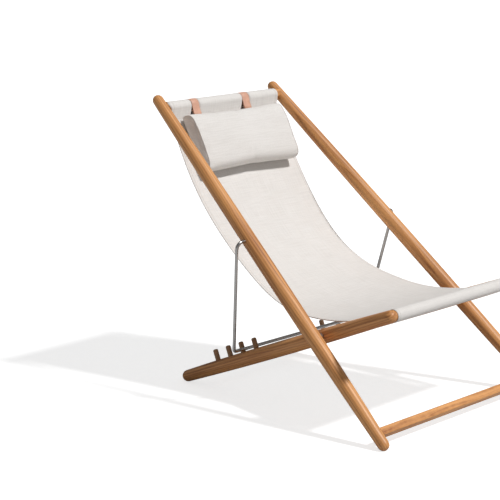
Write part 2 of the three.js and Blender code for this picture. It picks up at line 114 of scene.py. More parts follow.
# ---------- mesh helpers ----------
def new_piece(name, verts, faces, material, body=None, smooth=True):
    mesh = bpy.data.meshes.new(name)
    mesh.from_pydata([tuple(v) for v in verts], [], faces)
    mesh.validate()
    mesh.update()
    if smooth:
        mesh.polygons.foreach_set("use_smooth", [True] * len(mesh.polygons))
    piece = bpy.data.objects.new(name, mesh)
    bpy.context.scene.collection.objects.link(piece)
    mesh.materials.append(material)
    if body:
        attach(piece, body)
    return piece


def bake_modifiers(piece):
    """Turns the piece's modifiers into its mesh."""
    graph = bpy.context.evaluated_depsgraph_get()
    mesh = bpy.data.meshes.new_from_object(piece.evaluated_get(graph))
    piece.modifiers.clear()
    piece.data = mesh


def grid_faces(rows, columns, wrap_rows=False, wrap_columns=False):
    """Quads of a rows x columns grid of points, numbered row by row."""
    faces = []
    for i in range(rows if wrap_rows else rows - 1):
        for j in range(columns if wrap_columns else columns - 1):
            i2 = (i + 1) % rows
            j2 = (j + 1) % columns
            faces.append((i * columns + j, i * columns + j2, i2 * columns + j2, i2 * columns + j))
    return faces


def smoothstep(low, high, value):
    t = min(max((value - low) / (high - low), 0.0), 1.0)
    return t * t * (3 - 2 * t)


def bump(low, high, value):
    """0 at low and high, and 1 halfway between them."""
    t = min(max((value - low) / (high - low), 0.0), 1.0)
    return math.sin(math.pi * t) ** 2


# ---------- shader helpers ----------
def group_tree(name, inputs, outputs):
    """A shader node group with its sockets. Each input is (name, type, default)."""
    tree = bpy.data.node_groups.new(name, "ShaderNodeTree")
    for socket_name, kind, default in inputs:
        socket = tree.interface.new_socket(socket_name, in_out="INPUT", socket_type=kind)
        if default is not None:
            socket.default_value = default
    for socket_name, kind in outputs:
        tree.interface.new_socket(socket_name, in_out="OUTPUT", socket_type=kind)
    source = tree.nodes.new("NodeGroupInput")
    sink = tree.nodes.new("NodeGroupOutput")
    return tree, source, sink


def place_group(tree, group, **values):
    node = tree.nodes.new("ShaderNodeGroup")
    node.node_tree = group
    for key, value in values.items():
        node.inputs[key.replace("_", " ")].default_value = value
    return node


def math_node(tree, operation, a, b=None, clamp=False):
    node = tree.nodes.new("ShaderNodeMath")
    node.operation = operation
    node.use_clamp = clamp
    for index, value in enumerate((a, b)):
        if value is None:
            continue
        if isinstance(value, (int, float)):
            node.inputs[index].default_value = value
        else:
            tree.links.new(value, node.inputs[index])
    return node.outputs[0]


def mix_colors(tree, factor, a, b):
    node = tree.nodes.new("ShaderNodeMix")
    node.data_type = "RGBA"
    for index, value in ((0, factor), (6, a), (7, b)):
        if isinstance(value, (int, float, tuple)):
            node.inputs[index].default_value = value
        else:
            tree.links.new(value, node.inputs[index])
    return node.outputs[2]


def remap(tree, value, from_low, from_high, to_low, to_high):
    node = tree.nodes.new("ShaderNodeMapRange")
    node.inputs["From Min"].default_value = from_low
    node.inputs["From Max"].default_value = from_high
    node.inputs["To Min"].default_value = to_low
    node.inputs["To Max"].default_value = to_high
    tree.links.new(value, node.inputs["Value"])
    return node.outputs["Result"]


def noise_at(tree, vector, scale, detail=3.0, roughness=0.5, stretch=(1, 1, 1)):
    """Noise, with the coordinates stretched along each axis before it."""
    mapping = tree.nodes.new("ShaderNodeMapping")
    mapping.inputs["Scale"].default_value = stretch
    tree.links.new(vector, mapping.inputs["Vector"])
    node = tree.nodes.new("ShaderNodeTexNoise")
    node.inputs["Scale"].default_value = scale
    node.inputs["Detail"].default_value = detail
    node.inputs["Roughness"].default_value = roughness
    tree.links.new(mapping.outputs[0], node.inputs["Vector"])
    return node.outputs[0]


# ---------- shared effects ----------
def grain_group():
    """Growth rings, fibre streaks and short pores along Z, for wood."""
    tree, source, sink = group_tree(
        "wood_grain",
        [("Vector", "NodeSocketVector", None),
         ("Pale", "NodeSocketColor", (0.55, 0.33, 0.17, 1)),
         ("Deep", "NodeSocketColor", (0.33, 0.17, 0.075, 1)),
         ("Ring Pitch", "NodeSocketFloat", 0.0065)],
        [("Color", "NodeSocketColor"), ("Roughness", "NodeSocketFloat"), ("Height", "NodeSocketFloat")],
    )
    links = tree.links
    vector = source.outputs["Vector"]
    wander = noise_at(tree, vector, 9.0, 2.0, 0.5, (1, 1, 0.22))
    split = tree.nodes.new("ShaderNodeSeparateXYZ")
    links.new(vector, split.inputs[0])
    x2 = math_node(tree, "POWER", math_node(tree, "ABSOLUTE", split.outputs[0]), 2.0)
    y2 = math_node(tree, "POWER", math_node(tree, "ABSOLUTE", split.outputs[1]), 2.0)
    radius = math_node(tree, "SQRT", math_node(tree, "ADD", x2, y2))
    bent = math_node(tree, "ADD", radius, math_node(tree, "MULTIPLY", wander, 0.034))
    turns = math_node(tree, "DIVIDE", bent, source.outputs["Ring Pitch"])
    ring = math_node(tree, "FRACT", turns)
    late = math_node(tree, "POWER", ring, 2.6)
    soft_edge = remap(tree, ring, 0.93, 1.0, 1.0, 0.0)
    late = math_node(tree, "MULTIPLY", late, soft_edge)
    fibre = noise_at(tree, vector, 900.0, 3.0, 0.6, (1, 1, 0.018))
    streak = noise_at(tree, vector, 120.0, 3.0, 0.6, (1, 1, 0.03))
    blotch = noise_at(tree, vector, 7.0, 2.0, 0.5, (1, 1, 0.35))
    pore = noise_at(tree, vector, 1500.0, 1.0, 0.5, (1, 1, 0.05))
    pore = remap(tree, pore, 0.62, 0.70, 0.0, 1.0)
    depth = math_node(tree, "MULTIPLY", late, 0.50)
    depth = math_node(tree, "ADD", depth, remap(tree, streak, 0.36, 0.66, 0.0, 0.55))
    depth = math_node(tree, "ADD", depth, remap(tree, fibre, 0.3, 0.7, -0.08, 0.12))
    depth = math_node(tree, "ADD", depth, remap(tree, blotch, 0.32, 0.68, -0.10, 0.24))
    depth = math_node(tree, "ADD", depth, math_node(tree, "MULTIPLY", pore, 0.22), clamp=True)
    links.new(mix_colors(tree, depth, source.outputs["Pale"], source.outputs["Deep"]), sink.inputs["Color"])
    links.new(remap(tree, depth, 0.0, 1.0, 0.46, 0.62), sink.inputs["Roughness"])
    height = math_node(tree, "SUBTRACT", math_node(tree, "MULTIPLY", fibre, 0.5),
                       math_node(tree, "MULTIPLY", pore, 0.5))
    hard_rings = math_node(tree, "MULTIPLY", late, 0.25)
    links.new(math_node(tree, "SUBTRACT", height, hard_rings), sink.inputs["Height"])
    return tree


def weave_group():
    """Plain weave with uneven threads, and painted shade darkening the low gaps between the threads. Vector's
    X and Y run along the two sets of threads, in metres.
    """
    tree, source, sink = group_tree(
        "plain_weave",
        [("Vector", "NodeSocketVector", None),
         ("Thread Pitch", "NodeSocketFloat", 0.0011),
         ("Pale", "NodeSocketColor", (0.80, 0.78, 0.73, 1)),
         ("Deep", "NodeSocketColor", (0.62, 0.59, 0.54, 1))],
        [("Color", "NodeSocketColor"), ("Roughness", "NodeSocketFloat"), ("Height", "NodeSocketFloat")],
    )
    links = tree.links
    vector = source.outputs["Vector"]
    split = tree.nodes.new("ShaderNodeSeparateXYZ")
    links.new(vector, split.inputs[0])
    warp_slub = noise_at(tree, vector, 420.0, 2.0, 0.6, (1, 0.03, 1))
    weft_slub = noise_at(tree, vector, 420.0, 2.0, 0.6, (0.03, 1, 1))
    waves = []
    for axis in (0, 1):
        turns = math_node(tree, "DIVIDE", split.outputs[axis], source.outputs["Thread Pitch"])
        waves.append(math_node(tree, "SINE", math_node(tree, "MULTIPLY", turns, math.pi)))
    over = math_node(tree, "MULTIPLY", waves[0], waves[1])
    height = math_node(tree, "ABSOLUTE", over)
    slub = math_node(tree, "ADD", warp_slub, weft_slub)
    cloud = noise_at(tree, vector, 14.0, 3.0, 0.55)
    thick_threads = remap(tree, slub, 0.8, 1.25, 0.0, 0.55)
    # painted shade: the low gaps between the threads are darkened by up to 0.22 towards the deep colour, as if
    # shade fell between them; the slub and cloud tones added to it are the cloth's own uneven colour
    painted_gap_shade = remap(tree, height, 0.0, 1.0, 0.22, 0.0)
    thread_tone_and_gap_shade = math_node(tree, "ADD", thick_threads, painted_gap_shade)
    thread_tone_and_gap_shade = math_node(tree, "ADD", thread_tone_and_gap_shade, remap(tree, cloud, 0.3, 0.7, -0.05, 0.12), clamp=True)
    links.new(mix_colors(tree, thread_tone_and_gap_shade, source.outputs["Pale"], source.outputs["Deep"]), sink.inputs["Color"])
    links.new(remap(tree, thread_tone_and_gap_shade, 0.0, 1.0, 0.88, 0.97), sink.inputs["Roughness"])
    links.new(math_node(tree, "ADD", height, math_node(tree, "MULTIPLY", slub, 0.8)), sink.inputs["Height"])
    return tree


def stitch_group():
    """A dashed line of thread. Distance is from the line and Along is the place on it, both in metres."""
    tree, source, sink = group_tree(
        "stitch_line",
        [("Distance", "NodeSocketFloat", 1.0),
         ("Along", "NodeSocketFloat", 0.0),
         ("Stitch", "NodeSocketFloat", 0.0036),
         ("Thread Width", "NodeSocketFloat", 0.0008)],
        [("Mask", "NodeSocketFloat")],
    )
    away = math_node(tree, "ABSOLUTE", source.outputs["Distance"])
    band = math_node(tree, "LESS_THAN", away, source.outputs["Thread Width"])
    turns = math_node(tree, "DIVIDE", source.outputs["Along"], source.outputs["Stitch"])
    dash = math_node(tree, "LESS_THAN", math_node(tree, "FRACT", turns), 0.68)
    tree.links.new(math_node(tree, "MULTIPLY", band, dash), sink.inputs["Mask"])
    return tree


def wear_group():
    """A mask of handled, rubbed edges, broken up by noise."""
    tree, source, sink = group_tree(
        "rubbed_edges",
        [("Vector", "NodeSocketVector", None), ("Amount", "NodeSocketFloat", 0.5)],
        [("Mask", "NodeSocketFloat")],
    )
    geometry = tree.nodes.new("ShaderNodeNewGeometry")
    edge = remap(tree, geometry.outputs["Pointiness"], 0.52, 0.60, 0.0, 1.0)
    patch = remap(tree, noise_at(tree, source.outputs["Vector"], 60.0, 4.0), 0.35, 0.65, 0.0, 1.0)
    broken_edge = math_node(tree, "MULTIPLY", edge, patch)
    worn = math_node(tree, "MULTIPLY", broken_edge, source.outputs["Amount"], clamp=True)
    tree.links.new(worn, sink.inputs["Mask"])
    return tree


GRAIN = grain_group()
WEAVE = weave_group()
STITCH = stitch_group()
WEAR = wear_group()


# ---------- materials ----------
def new_material(name):
    material = bpy.data.materials.new(name)
    material.use_nodes = True
    tree = material.node_tree
    tree.nodes.clear()
    output = tree.nodes.new("ShaderNodeOutputMaterial")
    shader = tree.nodes.new("ShaderNodeBsdfPrincipled")
    tree.links.new(shader.outputs[0], output.inputs[0])
    return material, tree, shader


def add_bump(tree, shader, height, strength, distance):
    node = tree.nodes.new("ShaderNodeBump")
    node.inputs["Strength"].default_value = strength
    node.inputs["Distance"].default_value = distance
    tree.links.new(height, node.inputs["Height"])
    tree.links.new(node.outputs[0], shader.inputs["Normal"])


def wood_material(name, grain_way, through, pale, deep, heart=(0.045, 0.03)):
    """Oiled hardwood whose grain runs along grain_way through a point. heart is the log's centre."""
    material, tree, shader = new_material(name)
    turn = grain_way.normalized().rotation_difference(Vector((0, 0, 1)))
    place = turn @ -Vector(through)
    coordinates = tree.nodes.new("ShaderNodeTexCoord")
    mapping = tree.nodes.new("ShaderNodeMapping")
    mapping.inputs["Rotation"].default_value = turn.to_euler()
    mapping.inputs["Location"].default_value = (place.x + heart[0], place.y + heart[1], place.z)
    tree.links.new(coordinates.outputs["Object"], mapping.inputs["Vector"])
    grain = place_group(tree, GRAIN, Pale=pale, Deep=deep)
    wear = place_group(tree, WEAR, Amount=0.35)
    tree.links.new(mapping.outputs[0], grain.inputs["Vector"])
    tree.links.new(mapping.outputs[0], wear.inputs["Vector"])
    color = mix_colors(tree, wear.outputs["Mask"], grain.outputs["Color"], pale)
    tree.links.new(color, shader.inputs["Base Color"])
    tree.links.new(grain.outputs["Roughness"], shader.inputs["Roughness"])
    shader.inputs["Coat Weight"].default_value = 0.12
    shader.inputs["Coat Roughness"].default_value = 0.35
    add_bump(tree, shader, grain.outputs["Height"], 0.35, 0.0004)
    return material


def steel_material(name, color, fine_axis):
    """Drawn stainless, with fine lines along fine_axis."""
    material, tree, shader = new_material(name)
    coordinates = tree.nodes.new("ShaderNodeTexCoord")
    stretch = tuple(0.05 if index == fine_axis else 1.0 for index in range(3))
    lines = noise_at(tree, coordinates.outputs["Object"], 2200.0, 3.0, 0.6, stretch)
    smudge = noise_at(tree, coordinates.outputs["Object"], 35.0, 3.0, 0.6)
    tint = mix_colors(tree, remap(tree, smudge, 0.35, 0.65, 0.0, 1.0), color,
                      tuple(c * 0.86 for c in color[:3]) + (1,))
    tree.links.new(tint, shader.inputs["Base Color"])
    drawn = remap(tree, lines, 0.3, 0.7, 0.16, 0.30)
    handled = remap(tree, smudge, 0.3, 0.7, 0.0, 0.08)
    rough = math_node(tree, "ADD", drawn, handled)
    tree.links.new(rough, shader.inputs["Roughness"])
    shader.inputs["Metallic"].default_value = 1.0
    add_bump(tree, shader, lines, 0.15, 0.0001)
    return material


def canvas_material(name, pale, deep, seams=()):
    """Woven canvas. With seams, the threads run along the UV map named cloth, which holds metres.

    Lines of stitches then follow the hems, HEM_STITCH from the sides, and the seams at the given lengths, each
    with painted shade in a narrow band beside it, darker towards the line.
    """
    material, tree, shader = new_material(name)
    weave = place_group(tree, WEAVE, Pale=pale, Deep=deep)
    color = weave.outputs["Color"]
    if seams:
        cloth = uv_map(tree, "cloth")
        tree.links.new(cloth, weave.inputs["Vector"])
        place = tree.nodes.new("ShaderNodeSeparateXYZ")
        tree.links.new(cloth, place.inputs[0])
        hem = tree.nodes.new("ShaderNodeSeparateXYZ")
        tree.links.new(uv_map(tree, "hem"), hem.inputs[0])
        lines = [(math_node(tree, "SUBTRACT", hem.outputs[0], HEM_STITCH), place.outputs[1])]
        lines += [(math_node(tree, "SUBTRACT", place.outputs[1], seam), place.outputs[0]) for seam in seams]
        for away, along in lines:
            stitches = place_group(tree, STITCH)
            tree.links.new(away, stitches.inputs["Distance"])
            tree.links.new(along, stitches.inputs["Along"])
            # painted shade: the canvas is darkened halfway to the deep colour at each stitch or seam line,
            # fading out 2.2 mm from it, as if shade lay in the seam's groove
            painted_seam_shade = remap(tree, math_node(tree, "ABSOLUTE", away), 0.0, 0.0022, 0.5, 0.0)
            color = mix_colors(tree, painted_seam_shade, color, deep)
            color = mix_colors(tree, stitches.outputs["Mask"], color, THREAD)
    else:
        coordinates = tree.nodes.new("ShaderNodeTexCoord")
        tree.links.new(coordinates.outputs["Object"], weave.inputs["Vector"])
    tree.links.new(color, shader.inputs["Base Color"])
    tree.links.new(weave.outputs["Roughness"], shader.inputs["Roughness"])
    shader.inputs["Sheen Weight"].default_value = 0.12
    shader.inputs["Sheen Roughness"].default_value = 0.5
    shader.inputs["Specular IOR Level"].default_value = 0.25
    add_bump(tree, shader, weave.outputs["Height"], 0.5, 0.0004)
    return material


def uv_map(tree, name):
    node = tree.nodes.new("ShaderNodeUVMap")
    node.uv_map = name
    return node.outputs[0]


def leather_material(name, pale, deep):
    material, tree, shader = new_material(name)
    coordinates = tree.nodes.new("ShaderNodeTexCoord")
    cells = tree.nodes.new("ShaderNodeTexVoronoi")
    cells.inputs["Scale"].default_value = 900.0
    tree.links.new(coordinates.outputs["Object"], cells.inputs["Vector"])
    blotch = noise_at(tree, coordinates.outputs["Object"], 60.0, 4.0, 0.6)
    wear = place_group(tree, WEAR, Amount=0.8)
    tree.links.new(coordinates.outputs["Object"], wear.inputs["Vector"])
    tone = mix_colors(tree, remap(tree, blotch, 0.35, 0.68, 0.0, 1.0), pale, deep)
    tree.links.new(mix_colors(tree, wear.outputs["Mask"], tone, pale), shader.inputs["Base Color"])
    tree.links.new(remap(tree, cells.outputs["Distance"], 0.0, 0.8, 0.42, 0.6), shader.inputs["Roughness"])
    add_bump(tree, shader, cells.outputs["Distance"], 0.25, 0.0003)
    return material


PALE_WOOD = (0.81, 0.395, 0.138, 1)
DEEP_WOOD = (0.33, 0.112, 0.027, 1)
PALE_PEG = (0.40, 0.22, 0.11, 1)
DEEP_PEG = (0.22, 0.11, 0.05, 1)
PALE_CANVAS = (0.83, 0.80, 0.77, 1)
DEEP_CANVAS = (0.70, 0.665, 0.63, 1)
THREAD = (0.60, 0.57, 0.53, 1)


def along_frame(slope, side):
    """The direction of a rail in a frame of that slope, on side -1 or +1, from the foot up."""
    flat = Vector((-side * FRAME_TAPER, 1, 0)).normalized()
    return Matrix.Rotation(slope, 3, "X") @ flat


def dress_frames():
    across = Vector((1, 0, 0))
    for side, word in ((-1, "right"), (1, "left")):
        back = wood_material(
            f"back_rail_{word}_wood", along_frame(BACK_SLOPE, side), middle(f"back_rail_{word}"),
            PALE_WOOD, DEEP_WOOD, (0.050 + 0.012 * side, 0.028 * side),
        )
        seat = wood_material(
            f"seat_rail_{word}_wood", along_frame(SEAT_SLOPE, side), middle(f"seat_rail_{word}"),
            PALE_WOOD, DEEP_WOOD, (0.038, -0.044 * side),
        )
        upright = Matrix.Rotation(SEAT_SLOPE, 3, "X") @ Vector((0, 0, 1))
        pegs = wood_material(
            f"peg_{word}_wood", upright, middle(f"peg_{word}_1"), PALE_PEG, DEEP_PEG, (0.03, 0.02),
        )
        dress(f"back_rail_{word}", back)
        dress(f"seat_rail_{word}", seat)
        for number in range(1, 5):
            dress(f"peg_{word}_{number}", pegs)
    for bar in ("top_bar", "front_bar", "rear_bar", "low_stretcher"):
        dress(bar, wood_material(f"{bar}_wood", across, middle(bar), PALE_WOOD, DEEP_WOOD, (0.036, 0.051)))


def dress(node, material):
    """Gives a carried-over node its material, and shades its facets as the round surface they stand for."""
    piece = nodes[node]
    piece.data.materials.clear()
    piece.data.materials.append(material)
    piece.data.normals_split_custom_set([(0, 0, 0)] * len(piece.data.loops))
    piece.data.polygons.foreach_set("use_smooth", [True] * len(piece.data.polygons))
    weld = piece.modifiers.new("joined_facets", "WELD")
    weld.merge_threshold = 0.00001
    split = piece.modifiers.new("kept_edges", "EDGE_SPLIT")
    split.split_angle = math.radians(34)


def dress_steel():
    wire = steel_material("drawn_wire", (0.52, 0.51, 0.50, 1), 2)
    turned = steel_material("turned_fitting", (0.60, 0.60, 0.59, 1), 0)
    dress("prop_bracket", wire)
    for word in ("right", "left"):
        for piece in ("bolt", "washer", "spacer", "insert"):
            dress(f"pivot_{piece}_{word}", turned)


# ---------- sling ----------
def heading(angle):
    return Vector((0, math.cos(angle), math.sin(angle)))


def sag_line(steps):
    """Points from the top seam to the front seam, down the middle of the cloth."""
    start = Vector((0, HEAD_BAR.y, HEAD_BAR.z)) + heading(TOP_WAY) * SLEEVE_DROP
    end = Vector((0, FRONT_BAR.y, FRONT_BAR.z)) + heading(FRONT_WAY) * SLEEVE_DROP
    a = start + heading(TOP_WAY) * TOP_PULL
    b = end + heading(FRONT_WAY) * FRONT_PULL
    points = []
    for i in range(steps + 1):
        t = i / steps
        points.append(
            start * (1 - t) ** 3 + a * 3 * t * (1 - t) ** 2 + b * 3 * t * t * (1 - t) + end * t ** 3
        )
    return points


def sleeve_arc(centre, way, steps=18):
    """Points round a bar, from the tangent on one side of the seam to the tangent on the other."""
    lean = math.acos(SLEEVE_RADIUS / SLEEVE_DROP)
    middle_point = Vector((0, centre.y, centre.z))
    return [
        middle_point + heading(way + lean + (2 * math.pi - 2 * lean) * i / steps) * SLEEVE_RADIUS
        for i in range(steps + 1)
    ]


def sling_profile():
    """The cloth's side view as (point, kind), from the tail at the top seam to the tail at the front."""
    sag = sag_line(110)
    gap = CLOTH * 1.15
    profile = []
    back = heading(TOP_WAY + math.pi / 2)
    for k in (2, 1, 0):
        profile.append((sag[0] + heading(TOP_WAY) * SEAM_TAIL * k / 2 + back * gap, "tail"))
    for point in sleeve_arc(HEAD_BAR, TOP_WAY):
        profile.append((point, "sleeve"))
    for point in sag:
        profile.append((point, "sag"))
    for point in sleeve_arc(FRONT_BAR, FRONT_WAY):
        profile.append((point, "sleeve"))
    below = heading(FRONT_WAY - math.pi / 2)
    for k in (0, 1, 2):
        profile.append((sag[-1] + heading(FRONT_WAY) * SEAM_TAIL * k / 2 + below * gap, "tail"))
    return profile


def half_width(y):
    share = (HEAD_BAR.y - y) / (HEAD_BAR.y - FRONT_BAR.y)
    return TOP_HALF + (FRONT_HALF - TOP_HALF) * min(max(share, 0.0), 1.0)


def sling_columns():
    """Places across the cloth, from -1 to 1, closer together at the hems, with one at each notch's sides."""
    count = 64
    columns = [math.sin(math.pi / 2 * (2 * j / count - 1)) * 0.35 + (2 * j / count - 1) * 0.65
               for j in range(count + 1)]
    for strap in STRAP_X:
        for side in (-1, 1):
            edge = (strap - TOP_SHIFT + side * (STRAP_HALF + NOTCH_PLAY)) / TOP_HALF
            nearest = min(range(len(columns)), key=lambda j: abs(columns[j] - edge))
            columns[nearest] = edge
    return columns


def sling_place(profile, i, x_share, behind=0.0):
    """A point of the cloth, x_share of the way from its middle to its side, in row i of the profile."""
    point, kind = profile[i]
    before = profile[max(i - 1, 0)][0]
    after = profile[min(i + 1, len(profile) - 1)][0]
    along = (after - before).normalized()
    normal = Vector((0, along.z, -along.y))
    lift = sling_lift(x_share, point) if kind == "sag" else 0.0
    x = x_share * half_width(point.y) + TOP_SHIFT * smoothstep(0.10, HEAD_BAR.y - SLEEVE_RADIUS, point.y)
    if kind == "sleeve" and point.y > 0 and x_share < -0.999:
        x -= sleeve_flare(point)
    return point + normal * (lift - behind) + Vector((x, 0, 0))


def sleeve_flare(point):
    """How far the right end of the top sleeve reaches past the rest, in front of the rail and behind it."""
    across_frame = heading(BACK_SLOPE + math.pi / 2)
    stand_off = abs((point - Vector((0, HEAD_BAR.y, HEAD_BAR.z))).dot(across_frame)) / SLEEVE_RADIUS
    return SLEEVE_FLARE * min(max((stand_off - 0.6) / 0.4, 0.0), 1.0)


def profile_lengths(profile):
    run = [0.0]
    for (a, _), (b, _) in zip(profile, profile[1:]):
        run.append(run[-1] + (b - a).length)
    return run


def seam_lengths():
    """How far along the cloth its two cross seams lie."""
    profile = sling_profile()
    run = profile_lengths(profile)
    sag = [i for i, (_, kind) in enumerate(profile) if kind == "sag"]
    return run[sag[0]] + 0.003, run[sag[-1]] - 0.003


def thicken(piece):
    solid = piece.modifiers.new("thickness", "SOLIDIFY")
    solid.thickness = CLOTH
    solid.offset = 0.0
    bake_modifiers(piece)


def hang(piece):
    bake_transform(piece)


def map_cloth(piece, places, hems):
    """Writes the two UV maps: the place on the flat cloth, and the distance from its nearer side."""
    for name, values in (("cloth", places), ("hem", hems)):
        layer = piece.data.uv_layers.new(name=name)
        for loop in piece.data.loops:
            layer.data[loop.index].uv = values[loop.vertex_index]


def build_sling(material):
    profile = sling_profile()
    run = profile_lengths(profile)
    columns = sling_columns()
    verts, places, hems = [], [], []
    for i, (point, _) in enumerate(profile):
        half = half_width(point.y)
        for u in columns:
            verts.append(sling_place(profile, i, u))
            places.append((u * half, run[i]))
            hems.append((half * (1 - abs(u)), run[i]))
    rows, width = len(profile), len(columns)
    faces = []
    for face in grid_faces(rows, width):
        i, j = divmod(face[0], width)
        x = (columns[j] + columns[min(j + 1, width - 1)]) / 2 * TOP_HALF + TOP_SHIFT
        over_bar = profile[i][1] == "sleeve" and i < rows / 2
        if over_bar and any(abs(x - strap) < STRAP_HALF + NOTCH_PLAY for strap in STRAP_X):
            continue
        faces.append(face)
    sling = new_piece("sling_cloth", verts, faces, material)
    map_cloth(sling, places, hems)
    thicken(sling)
    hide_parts("sling")
    hang(sling)
    hem_pieces = [
        build_hem(profile, run, side, word, material) for side, word in ((-1, "right"), (1, "left"))
    ]
    return sling


def build_hem(profile, run, side, word, material):
    """The edge turned under and sewn down, from one seam to the other."""
    rows = [i for i, (_, kind) in enumerate(profile) if kind == "sag"][2:-2]
    verts, places, hems = [], [], []
    for i in rows:
        half = half_width(profile[i][0].y)
        for inset in (0.0014, HEM / 2, HEM):
            share = side * (1 - inset / half)
            verts.append(sling_place(profile, i, share, CLOTH * 1.06))
            places.append((share * half, run[i]))
            hems.append((inset, run[i]))
    faces = grid_faces(len(rows), 3)
    hem = new_piece(f"sling_hem_{word}", verts, faces, material)
    map_cloth(hem, places, hems)
    thicken(hem)
    hang(hem)
    return hem


def sling_lift(u, point):
    """How far the cloth stands off its mean surface, towards the sitter."""
    twist = -u * SEAT_TWIST * bump(-0.05, 0.36, point.y)
    ripple = 0.0012 * noise.noise(Vector((u * 1.6, point.y * 7.0, 3.7)))
    return twist + ripple


# ---------- headrest ----------
def headrest_frame():
    """The matrix from the headrest's own axes to the row frame: -Z runs down the cloth, -Y stands off it."""
    sag = sag_line(400)
    run = [0.0]
    for a, b in zip(sag, sag[1:]):
        run.append(run[-1] + (b - a).length)

    def at(distance):
        index = min(range(len(run)), key=lambda k: abs(run[k] - distance))
        return sag[index]

    top = at(PILLOW_DROP - SLEEVE_DROP)
    foot = at(PILLOW_DROP - SLEEVE_DROP + PILLOW_LENGTH)
    tilt = math.atan2(foot.z - top.z, foot.y - top.y) + math.pi / 2
    matrix = Matrix.Translation((0, HEAD_BAR.y, HEAD_BAR.z)) @ Matrix.Rotation(tilt, 4, "X")
    behind = (matrix.inverted() @ top).y
    return matrix, behind


HEADREST, CLOTH_BEHIND = headrest_frame()
PILLOW_BACK = CLOTH_BEHIND - CLOTH / 2 - 0.0015


def bezier(points, t):
    a, b, c, d = points
    return tuple(
        a[k] * (1 - t) ** 3 + 3 * b[k] * t * (1 - t) ** 2 + 3 * c[k] * t * t * (1 - t) + d[k] * t ** 3
        for k in range(2)
    )


def pillow_outline(inset, steps=10):
    """The pillow's closed outline in the headrest's YZ plane, drawn in by inset all round."""
    back = PILLOW_BACK - inset
    front = PILLOW_BACK - PILLOW_THICK + inset
    high = -PILLOW_DROP - inset
    low = -PILLOW_DROP - PILLOW_LENGTH + inset
    thick = back - front
    tall = high - low
    corner = thick * 0.18
    shoulder = (front + 0.003, high - tall * 0.20)
    hip = (front, low + thick * 0.45)
    runs = [
        ((back, low + corner), (back, low + tall * 0.3), (back, high - tall * 0.3), (back, high - corner)),
        ((back, high - corner), (back, high - corner * 0.3),
         (back - corner * 0.3, high), (back - corner, high)),
        ((back - corner, high), (back - thick * 0.7, high), (front + 0.004, high - corner), shoulder),
        (shoulder, (front - 0.002, high - tall * 0.4), (front - 0.002, low + tall * 0.45), hip),
        (hip, (front + 0.003, low + 0.004), (front + thick * 0.4, low), (back - thick * 0.4, low)),
        ((back - thick * 0.4, low), (back - corner, low), (back, low + corner * 0.3), (back, low + corner)),
    ]
    return [bezier(run, k / steps) for run in runs for k in range(steps)]


def build_pillow(material):
    inset = 0.002
    outline = pillow_outline(inset)
    count = len(outline)
    columns = 34
    verts, faces = [], []
    for j in range(columns + 1):
        u = 2 * j / columns - 1
        x = HEAD_SHIFT + u * (PILLOW_HALF - inset)
        for y, z in outline:
            verts.append(Vector((x, y, z)))
    faces += [tuple(reversed(f)) for f in grid_faces(columns + 1, count, wrap_columns=True)]
    faces.append(tuple(range(count)))
    faces.append(tuple(reversed(range(columns * count, (columns + 1) * count))))
    pillow = new_piece("headrest_cushion", verts, faces, material)
    fix_normals(pillow)
    inflate(pillow, FILL_CAP)
    pillow.data.transform(HEADREST)
    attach(pillow, "headrest")
    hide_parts("headrest_pillow")
    return pillow


def fix_normals(piece):
    mesh = bmesh.new()
    mesh.from_mesh(piece.data)
    bmesh.ops.recalc_face_normals(mesh, faces=mesh.faces)
    mesh.to_mesh(piece.data)
    mesh.free()


def inflate(piece, cap):
    """Fills the closed piece with air as cloth, keeps it near its cut shape and fits it to its sizes."""
    remesh = piece.modifiers.new("even", "REMESH")
    remesh.mode = "VOXEL"
    remesh.voxel_size = VOXEL
    remesh.use_smooth_shade = True
    bake_modifiers(piece)
    start = [v.co.copy() for v in piece.data.vertices]
    simulate(piece)
    for vertex, rest in zip(piece.data.vertices, start):
        move = (vertex.co - rest) * FILL_SHARE
        if move.length > cap:
            move *= cap / move.length
        vertex.co = rest + move
    smooth = piece.modifiers.new("smooth", "SUBSURF")
    smooth.levels = 1
    smooth.render_levels = 1
    bake_modifiers(piece)
    fit_pillow(piece)
    pucker(piece)
    piece.data.polygons.foreach_set("use_smooth", [True] * len(piece.data.polygons))


def fit_pillow(piece):
    """Stretches the filled piece evenly, so that it fills the pillow's box."""
    low = [min(v.co[k] for v in piece.data.vertices) for k in range(3)]
    high = [max(v.co[k] for v in piece.data.vertices) for k in range(3)]
    want_low = (HEAD_SHIFT - PILLOW_HALF, PILLOW_BACK - PILLOW_THICK, -PILLOW_DROP - PILLOW_LENGTH)
    want_high = (HEAD_SHIFT + PILLOW_HALF, PILLOW_BACK, -PILLOW_DROP)
    for vertex in piece.data.vertices:
        for k in range(3):
            share = (vertex.co[k] - low[k]) / (high[k] - low[k])
            vertex.co[k] = want_low[k] + (want_high[k] - want_low[k]) * share


def pucker(piece):
    """Small gathers beside the end seams, and a softer unevenness over the rest."""
    normals = [v.normal.copy() for v in piece.data.vertices]
    for vertex, normal in zip(piece.data.vertices, normals):
        x, y, z = vertex.co
        from_end = PILLOW_HALF - abs(x - HEAD_SHIFT)
        near_seam = math.exp(-((from_end - 0.010) / 0.012) ** 2)
        gather = noise.noise(Vector((x * 12, y * 95, z * 95))) * near_seam * PILLOW_SEAM_PULL
        loose = noise.noise(Vector((x * 9, y * 14, z * 30)) + Vector((5, 1, 2))) * 0.0014
        vertex.co += normal * (gather + loose)
        vertex.co.y = min(vertex.co.y, PILLOW_BACK)


def simulate(piece):
    cloth = piece.modifiers.new("air", "CLOTH")
    settings = cloth.settings
    settings.quality = 6
    settings.use_pressure = True
    settings.uniform_pressure_force = 4.0
    settings.tension_stiffness = 15
    settings.compression_stiffness = 15
    settings.bending_stiffness = 0.6
    settings.effector_weights.gravity = 0.0
    cloth.point_cache.frame_start = 1
    cloth.point_cache.frame_end = 20
    scene = bpy.context.scene
    for number in range(1, 21):
        scene.frame_set(number)
    bake_modifiers(piece)
    scene.frame_set(1)


